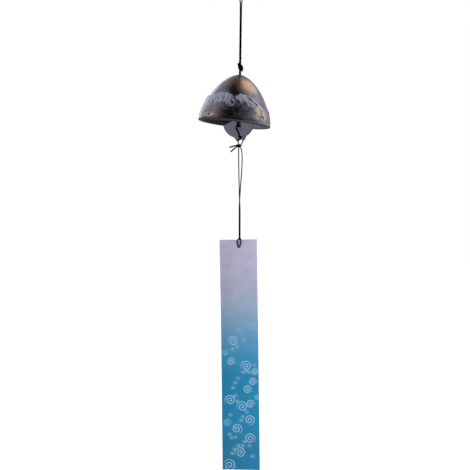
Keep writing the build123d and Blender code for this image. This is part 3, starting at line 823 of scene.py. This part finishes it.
def tents(lines):
    """The highest of many tents: each stands along a line of places, widens downwards, and fades at
    both ends."""
    highest = np.zeros(DEPTH.shape)
    for places, crest, width in lines:
        place, depth = np.array(places, float).T
        line = np.radians(np.interp(DEPTH, depth, place)) + WAVER * np.sin(WAVER_RATE * DEPTH + place[0])
        away = (AZIMUTH - line + np.pi) % (2 * np.pi) - np.pi
        along = (DEPTH - depth[0]) / (depth[-1] - depth[0])
        reach = np.interp(along, REACH_ALONG, REACH_SHARES)
        half_width = width * (TENT_TOP_SHARE + (1 - TENT_TOP_SHARE) * np.clip(along, 0, 1))
        tent = np.clip(1 - np.abs(ring * away) / half_width, 0, 1)
        highest = np.maximum(highest, crest * reach * tent)
    return highest


ridge_height, gullies = tents(RIDGES), tents(GULLIES)
print("highest ridge", round(float(ridge_height.max()), 2), "mm")

# %% [markdown]
# ### Rough rock
# Numpy's random numbers, kept by a fixed seed, give a lattice of values. Reading it smoothly between
# its points gives noise, and folding that noise at its middle gives the sharp crests of rock. Layers
# of finer and finer crests look like rock that was cast from a carved model.

# %% Noise, steps and patches
rng = np.random.default_rng(7)


def smooth(value, low, high):
    """Zero below low, one above high, and an even S between them."""
    share = np.clip((value - low) / (high - low), 0, 1)
    return share * share * (3 - 2 * share)


def band(value, start, full, fade, end):
    """One from full to fade, and smoothly down to zero at start and at end."""
    return smooth(value, start, full) * (1 - smooth(value, fade, end))


def noise(cell, stretch=1.0, depth=DEPTH):
    """Smooth random values from 0 to 1 with cells of this size in millimetres, joined up round the bell,
    and longer by the stretch down the bell."""
    columns = max(int(round(2 * np.pi * BELL_RADIUS / cell)), 3)
    lattice = rng.random((columns, int(BELL_HEIGHT / (cell * stretch)) + 3))
    x = (AZIMUTH / (2 * np.pi) % 1) * columns
    y = np.clip(depth / (cell * stretch), 0, lattice.shape[1] - 2)
    column, row = x.astype(int) % columns, y.astype(int)
    fx, fy = smooth(x % 1, 0, 1), smooth(y % 1, 0, 1)
    after = (column + 1) % columns
    top = lattice[column, row] * (1 - fx) + lattice[after, row] * fx
    bottom = lattice[column, row + 1] * (1 - fx) + lattice[after, row + 1] * fx
    return top * (1 - fy) + bottom * fy


def crests(cells, stretch):
    """Noise folded at its middle, so that it has sharp crests, each finer layer half as strong."""
    folded = [1 - np.abs(2 * noise(cell, stretch) - 1) for cell in cells]
    shares = [0.5**layer for layer in range(len(cells))]
    return sum(share * crest for share, crest in zip(shares, folded)) / sum(shares)


def spot(azimuth, depth, wide, tall):
    """A soft round patch on the bell: a bell curve about a place, with half widths in degrees and
    millimetres."""
    away = (np.degrees(AZIMUTH) - azimuth + 180) % 360 - 180
    return np.exp(-((away / wide) ** 2) - ((DEPTH - depth) / tall) ** 2)


def patches(rows):
    """Soft patches added up, each from a row of its strength and what its spot needs."""
    return sum(strength * spot(*place) for strength, *place in rows)


print("a spot falls to", round(float(np.exp(-1)), 2), "at its half width")

# %% Height map
RELIEF, FOOT_DEPTH, FOOT_RELIEF = 0.9, 42.0, 0.65
LAYER_EDGE = (-0.4, 0.5)
PEAK_SINK, ROCK_RELIEF, GULLY_CUT, SCRUB_RELIEF, CAST_RELIEF = 0.2, 0.4, 0.35, 0.5, 0.04
ROCK_LEVEL, SCRUB_LEVEL, FOOT_PEAK_SHARE = 0.6, 0.4, 0.25
# Where the heights lie, in millimetres below the skyline
HEIGHTS = (0.0, 2.0, 9.0, 17.0)
# Cells of the crests in millimetres, and their stretch down the bell
ROCK, SCRUB = ([3.0, 1.5, 0.8], 1.8), ([2.4, 1.2], 0.6)
# Teeth of the skyline, which only go round the bell: their height and their width in millimetres
TEETH = [(0.9, 2.6), (0.5, 1.2)]
GOLD_PATCHES = [
    (1, -45, 45.2, 13, 1.8), (1, 41, 34.5, 7, 2.5), (1, 45, 37.5, 9, 3.5), (1, 54, 42, 9, 3.5),
    (1, 38, 42.5, 7, 2.0), (1, 96, 45, 16, 2.5), (1, 128, 44, 12, 3.5), (1, 165, 46, 18, 2.2),
    (1, -160, 44, 14, 3.2), (1, -128, 46, 16, 2.4), (1, -96, 45, 10, 2.6),
]
beside = np.degrees(AZIMUTH)
skyline = np.interp(beside, *np.array(SKYLINE).T)
for tooth, cell in TEETH:
    skyline = skyline + tooth * (noise(cell, depth=0 * DEPTH) - 0.5)
below = DEPTH - skyline
layer = smooth(below, *LAYER_EDGE) * (1 - (1 - FOOT_RELIEF) * smooth(DEPTH, FOOT_DEPTH, BELL_HEIGHT - LIP))
rock, scrub = crests(*ROCK), crests(*SCRUB)
heights = band(below, *HEIGHTS)
foothill = smooth(below, 0.0, 1.5) * np.clip(patches(GOLD_PATCHES), 0, 1)
peaks = ridge_height + ROCK_RELIEF * (rock - ROCK_LEVEL)
peak_share = FOOT_PEAK_SHARE + (1 - FOOT_PEAK_SHARE) * heights
height = layer * (
    RELIEF - PEAK_SINK * heights + peak_share * peaks * (1 - foothill)
    - GULLY_CUT * gullies + SCRUB_RELIEF * foothill * (scrub - SCRUB_LEVEL))
height = height + CAST_RELIEF * (noise(2.0) - 0.5)
print("relief", round(float(height.min()), 2), "to", round(float(height.max()), 2), "mm")

# %% [markdown]
# ### Where each finish lies
# A mask is a number from 0 to 1 at every point of the wall. Silver lies on the heights as snow does,
# and painted light makes it whiter on the slopes that face left. Gold lies on the foothills, and the
# gullies stay dark. Painted shade darkens the front below the snow, mottled like trees, and the
# edge of the lip. Tables of soft patches place what noise alone can't.

# %% Masks for the snow and the dark places
# Rows of patches: strength, degrees from the front, depth, half width in degrees, half height
SNOWY = [(3.0, -24, 28, 20, 12)]
BARE_ROCK = [(0.7, -6, 25.5, 5, 2.5), (0.8, 74, 38, 18, 10), (0.7, 20, 32, 10, 3.5)]
# Painted shade at the front centre below the snow, mottled like trees: the forest and the thicket
FOREST_AND_FRONT_SHADE = [(1.4, -6, 41, 15, 7)]
THICKET_AND_FRONT_SHADE = [(1, 6, 37, 24, 6)]
RIGHT_SHADE = [(0.4, 77, 42, 14, 9)]
# Painted shade on the lip's lower edge, at the front, at the back and in two lines
LIP_FRONT_SHADE = [(1.2, -3, 47, 23, 20)]
# Painted shadow lines along the lip: strength, the depths where each starts and is full, its place and half
# width
LIP_SHADOW_LINES = [(0.8, 47.3, 48.4, -45, 24), (0.6, 44.0, 46.5, 33, 12)]
LIP_EDGE, LIP_SIDES, LIP_SIDE_SHARE = (44.0, 47.0), (80, 110), 0.7
# The snow ends this far below the skyline, wanders by this much, and reaches lower on the ridges
SNOW_REACH, SNOW_WANDER, SNOW_ON_RIDGE, SNOW_FADE = 9.0, 8.0, 5.0, (-6.0, 2.0)
# Strength of the silver where it is thin and in streaks, and of the painted light on slopes that face left
SNOW_THIN, SNOW_STREAKED, PAINTED_LIGHT_LEFT_SLOPES = 0.4, 0.35, 0.45
# Strengths of the dark: sparse and dense trees, the thicket, what snow takes off both, and shade. The
# trees and the thicket lie only at the front centre and are painted shade there, mottled like trees
TREES_THIN, TREES_THICK, THICKET_SHARE, SNOW_ON_TREES = 0.45, 0.8, 0.6, 0.8
GULLY_SHADE, UNGILDED_SHADE = 1.5, 0.5
streaks = smooth(crests([2.2, 1.1], 2.4) + 0.5 * ridge_height, 0.35, 0.85)
snow_line = SNOW_REACH + SNOW_WANDER * (noise(5.0) - 0.5) + SNOW_ON_RIDGE * ridge_height + patches(SNOWY)
# Painted light: slopes that face left get more silver, as if lit from the left
lean = np.gradient(ridge_height - 0.5 * gullies, axis=1) / (ring * 2 * np.pi / COLUMNS)
painted_light_facing_left = smooth(lean, -0.2, 0.2)
snow_and_painted_light = band(below, *LAYER_EDGE, snow_line + SNOW_FADE[0], snow_line + SNOW_FADE[1])
snow_and_painted_light = snow_and_painted_light * np.clip(SNOW_THIN + SNOW_STREAKED * streaks + PAINTED_LIGHT_LEFT_SLOPES * painted_light_facing_left, 0, 1)
for strength, *place in BARE_ROCK:
    snow_and_painted_light = snow_and_painted_light * (1 - strength * spot(*place))
forest_and_front_shade = np.clip(patches(FOREST_AND_FRONT_SHADE), 0, 1)
thicket_and_front_shade = smooth(noise(2.6), 0.45, 0.75) * patches(THICKET_AND_FRONT_SHADE)
lip_sides = LIP_SIDE_SHARE * smooth(np.abs(beside), *LIP_SIDES)
lip_painted_shade = smooth(DEPTH, *LIP_EDGE) * np.clip(patches(LIP_FRONT_SHADE) + lip_sides, 0, 1)
for strength, start, full, place, wide in LIP_SHADOW_LINES:
    line = strength * smooth(DEPTH, start, full) * spot(place, 48, wide, 20)
    lip_painted_shade = lip_painted_shade + line * (1 - lip_painted_shade)
gilded = smooth(noise(3.0) + 0.6 * (scrub - 0.5), 0.15, 0.6)
shade = GULLY_SHADE * gullies + patches(RIGHT_SHADE) + UNGILDED_SHADE * foothill * (1 - gilded)
trees_and_front_shade = forest_and_front_shade * (TREES_THIN + TREES_THICK * smooth(scrub, 0.5, 0.8))
dark = np.clip(shade + (trees_and_front_shade + THICKET_SHARE * thicket_and_front_shade) * (1 - SNOW_ON_TREES * snow_and_painted_light), 0, 1)
print("snow covers", round(float(snow_and_painted_light.mean()), 2), "of the wall")

# %% Masks for the gold and the brown, and a painted dark reflection
UMBER_CROWN = [(1, -4, 6, 26, 9), (1, 30, 3, 60, 6), (0.5, 8, 15, 16, 7)]
UMBER_FOOT = [(0.9, -20, 44, 10, 4.5)]
# Painted dark reflection: dark patches on the dome above the front and on the right flank, where dark
# surroundings show in the metal
DARK_REFLECTION_PATCHES = [(1, -12, 16, 11, 7), (1, -3, 21.5, 11, 4), (0.45, 37, 22.5, 8, 2.2)]
# The gilded patch beside the crown, in degrees from the front and in depth, its strength where it is
# worn, and what whole places add to that. It is gilding and a painted highlight at once: its lighter
# colour fills the outline of the warm highlight that the high right panel puts there
GILT_HIGHLIGHT_PLACE, GILT_HIGHLIGHT_DEPTH, GILT_WORN, GILT_WHOLE = (1, 11, 46, 75), (4.5, 9, 13, 20.5), 0.7, 0.3
gold = foothill * gilded
gilt_and_highlight = band(beside, *GILT_HIGHLIGHT_PLACE) * band(DEPTH, *GILT_HIGHLIGHT_DEPTH)
gilt_and_highlight = gilt_and_highlight * (GILT_WORN + GILT_WHOLE * smooth(noise(2.2), 0.2, 0.7))
umber = np.clip(patches(UMBER_CROWN), 0, 1) * (1 - layer) + patches(UMBER_FOOT)
painted_dark_reflection = np.clip(patches(DARK_REFLECTION_PATCHES), 0, 1) * (1 - layer)
print("gold covers", round(float(gold.mean()), 2), "of the wall")

# %% The casting
rows = len(profile)
lip_rows = slice(len(outer), len(outer) + len(lip))
all_height = np.zeros((rows, COLUMNS))
all_height[:len(outer)] = height
all_height[lip_rows] = height[-1] * (1 - smooth(np.linspace(0, 1, len(lip)), 0.0, 0.7))[:, None]
slope = unit(np.gradient(outer, axis=0))
normal = np.zeros((rows, 2))
normal[:len(outer)] = np.column_stack([slope[:, 1], -slope[:, 0]])
normal[lip_rows] = unit(lip - lip_middle)
out = profile[:, 0][:, None] + all_height * normal[:, 0][:, None]
down = profile[:, 1][:, None] + all_height * normal[:, 1][:, None]
round_bell = np.sin(azimuths)[:, None] * BELL_ACROSS - np.cos(azimuths)[:, None] * BACK
bell_points = (APEX + out[..., None] * round_bell[None] - down[..., None] * BELL_UP) * MM
bell_quads = grid_quads(rows + 1, COLUMNS, closed=True) % (rows * COLUMNS)
print("bell cells", len(bell_quads))

# %% Masks on the whole casting
# Painted light on the mouth's inner edge at the right, where it faces light from the front left: degrees from
# the front, rows past the outer wall, strength
LIT_EDGE_PLACE, LIT_EDGE_ROWS, LIT_EDGE_SHARE = (85, 105, 145, 165), (8, 13, 15, 18), 0.65


def on_all(values, inside=0.0):
    """A mask of the outer wall, with one value for the lip, the inner wall and the hole."""
    full = np.full((rows, COLUMNS), inside)
    full[:len(outer)] = values
    return full


bell_masks = {"inside": on_all(np.zeros(DEPTH.shape), 1.0)}
painted_light_edge = band(np.arange(rows - len(outer)), *LIT_EDGE_ROWS)[:, None] * band(beside[0], *LIT_EDGE_PLACE)
bell_masks["inside"][len(outer):] -= LIT_EDGE_SHARE * painted_light_edge
finish_masks = {
    "umber": umber, "painted_dark_reflection": painted_dark_reflection, "gilt_and_highlight": gilt_and_highlight, "snow_and_painted_light": snow_and_painted_light, "lip": lip_painted_shade, "gold": gold, "dark": dark}
for mask, values in finish_masks.items():
    bell_masks[mask] = on_all(values)
print("masks:", ", ".join(bell_masks))

# %% [markdown]
# ## Patinated bronze
# The casting is a copper alloy with a dark patina that was polished back, so it mirrors the studio
# softly. The peaks are silvered, the foothills and a patch beside the crown are gilded, and the
# gullies keep the black of the patina. The gilded patch beside the crown also holds a painted
# highlight in the shape of the warm highlight there. Silver and gold lie on as a duller coat, and
# the inside keeps the rough scale of the casting. The masks from the height map say where each
# finish and each painted light and shade lies.

# %% Colours of the bell
# Blotches of patina, and the grain of the casting, drawn coarser than real sand so that it shows
BLOTCH, GRAIN = 7 * MM, 0.8 * MM
# Of these colours, the lip's is painted shade, the dark on the upper dome is a painted dark reflection, the
# gold beside the crown is partly a painted highlight, the silver also holds painted light, and the dark also
# holds painted shade
FINISHES = {
    "umber": "#a08470", "painted_dark_reflection": "#453a37", "gilt_and_highlight": "#e0bda0", "snow_and_painted_light": "#d8e1fa", "lip": "#383233",
    "gold": "#f2d8bc", "dark": "#3e3738", "inside": "#2a2628"}
bronze, add_bronze = new_material("patinated_bronze")
masks = {
    name: add_bronze("Attribute", attribute_name=name).outputs["Fac"]
    for name in bell_masks
}
bell_place = add_bronze("TexCoord").outputs["Object"]
blotches = add_bronze("TexNoise", {"Vector": bell_place, "Scale": 1 / BLOTCH, "Detail": 4.0})
finish = add_bronze("ValToRGB", {"Fac": blotches}, [(0.3, "#928d94"), (0.5, "#a5a1ab"), (0.7, "#b4b1bd")])
for mask, colour in FINISHES.items():
    finish = add_bronze("Mix", {"Factor": masks[mask], "A": finish, "B": linear(colour)}, data_type="RGBA")
print("finishes:", ", ".join(FINISHES))

# %% Surface of the bell
matt = add_bronze("Math", {0: masks["snow_and_painted_light"], 1: masks["gold"]}, operation="MAXIMUM")
worn = add_bronze("MapRange", {"Value": matt, "To Min": 0.27, "To Max": 0.48})
scale = add_bronze("Math", {0: masks["inside"], 1: 0.7}, operation="MULTIPLY")
roughness = add_bronze("Math", {0: worn, 1: scale}, operation="MAXIMUM")
bright = add_bronze("MapRange", {"Value": matt, "To Min": 0.85, "To Max": 0.3})
bare = add_bronze("MapRange", {"Value": masks["inside"], "To Min": 1.0, "To Max": 0.2})
metal_share = add_bronze("Math", {0: bright, 1: bare}, operation="MULTIPLY")
grain = add_bronze("TexNoise", {"Vector": bell_place, "Scale": 1 / GRAIN, "Detail": 2.0})
casting = add_bronze("Bump", {"Height": grain, "Strength": 0.3, "Distance": 0.06 * MM})
bronze_shader = add_bronze("BsdfPrincipled", {
    "Base Color": finish, "Metallic": metal_share, "Roughness": roughness,
    "Specular IOR Level": 0.2, "Normal": casting})
add_bronze("OutputMaterial", {"Surface": bronze_shader})
bell = put_mesh("bell_casting", bell_points, bell_quads[:, ::-1], bronze, bell_masks)
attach(bell, "bell")
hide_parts("bell")
print("bell made of", bronze.name)

# %% [markdown]
# ## Clapper
# The clapper is a flat plate of grey metal, filed round its edge. The CAD node already has its slot,
# tab, notch and hole, so it stays and gets a finish: a satin surface with marks that fan out from
# its middle, as a file leaves them. The filed edge, the slot's walls and the hole's wall are darkened
# with painted shade, and the corner that hangs in the bell's mouth gets a painted shadow.

# %% Colours of the satin steel plate
# File marks lie 0.65 mm apart at the rim, which is 15 mm from the middle
MARKS_PER_RADIAN = 23.0
SMUDGE = 5 * MM
# A painted shadow, where the plate hangs in the bell's mouth, lies above a line that falls to the left, and
# left of the middle
SHADOW_SLOPE, SHADOW_START, SHADOW_FULL = -0.465, 3.5 * MM, 4.4 * MM
SHADOW_RIGHT, SHADOW_LEFT = -6.0 * MM, -7.5 * MM
steel, add_steel = new_material("satin_filed_steel")
steel_coordinates = add_steel("TexCoord")
steel_place = steel_coordinates.outputs["Object"]
plate_middle = tuple(from_stopper(-0.65, 0.0, 41.5) * MM)
centred = add_steel("VectorMath", {0: steel_place, 1: plate_middle}, operation="SUBTRACT")
fan = add_steel("SeparateXYZ", {0: centred})
fan_angle = add_steel("Math", {0: fan.outputs["Z"], 1: fan.outputs["X"]}, operation="ARCTAN2")
marks = add_steel("TexNoise", {
    "W": fan_angle, "Scale": MARKS_PER_RADIAN, "Detail": 3.0}, noise_dimensions="1D")
smudge = add_steel("TexNoise", {"Vector": steel_place, "Scale": 1 / SMUDGE, "Detail": 3.0})
tones = add_steel("Math", {0: marks, 1: smudge}, operation="MULTIPLY")
satin = add_steel("ValToRGB", {"Fac": tones}, [(0.1, "#787785"), (0.45, "#9b9aab")])
# Painted shade on the edges and the walls: where the normal turns away from the plate's front, it darkens
facing = add_steel("VectorMath", {
    0: steel_coordinates.outputs["Normal"], 1: tuple(directions(CLAPPER_YAW)[1])}, operation="DOT_PRODUCT")
flat = add_steel("Math", {0: facing}, operation="ABSOLUTE")
shaded_edge = add_steel("MapRange", {"Value": flat, "From Min": 0.97, "From Max": 0.85})
above_line = add_steel("VectorMath", {0: centred, 1: (SHADOW_SLOPE, 0.0, 1.0)}, operation="DOT_PRODUCT")
shadow_band = add_steel("MapRange", {"Value": above_line, "From Min": SHADOW_START, "From Max": SHADOW_FULL})
left_share = add_steel("MapRange", {
    "Value": fan.outputs["X"], "From Min": SHADOW_RIGHT, "From Max": SHADOW_LEFT})
painted_shadow = add_steel("Math", {0: shadow_band, 1: left_share}, operation="MULTIPLY")
painted_shade_share = add_steel("Math", {0: shaded_edge, 1: painted_shadow}, operation="MAXIMUM")
# The painted shade on the edges and the painted shadow in the corner share one dark colour
steel_colour = add_steel("Mix", {
    "Factor": painted_shade_share, "A": satin, "B": linear("#26242b")}, data_type="RGBA")
print("plate's middle", np.round(np.array(plate_middle) / MM, 1), "mm")

# %% Surface of the satin steel plate
steel_bump = add_steel("Bump", {"Height": marks, "Strength": 0.3, "Distance": 0.05 * MM})
steel_shader = add_steel("BsdfPrincipled", {
    "Base Color": steel_colour, "Metallic": 0.75, "Roughness": 0.5, "Normal": steel_bump})
add_steel("OutputMaterial", {"Surface": steel_shader})
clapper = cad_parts["clapper"]
clapper.data.materials.clear()
clapper.data.materials.append(steel)
print("clapper finish:", steel.name)

# %% Boxes and finish
visual_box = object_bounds()
apart = np.abs(np.array(visual_box) - np.array(cad_box)).max()
print("the boxes differ by", round(float(apart) / MM, 2), "mm at most")
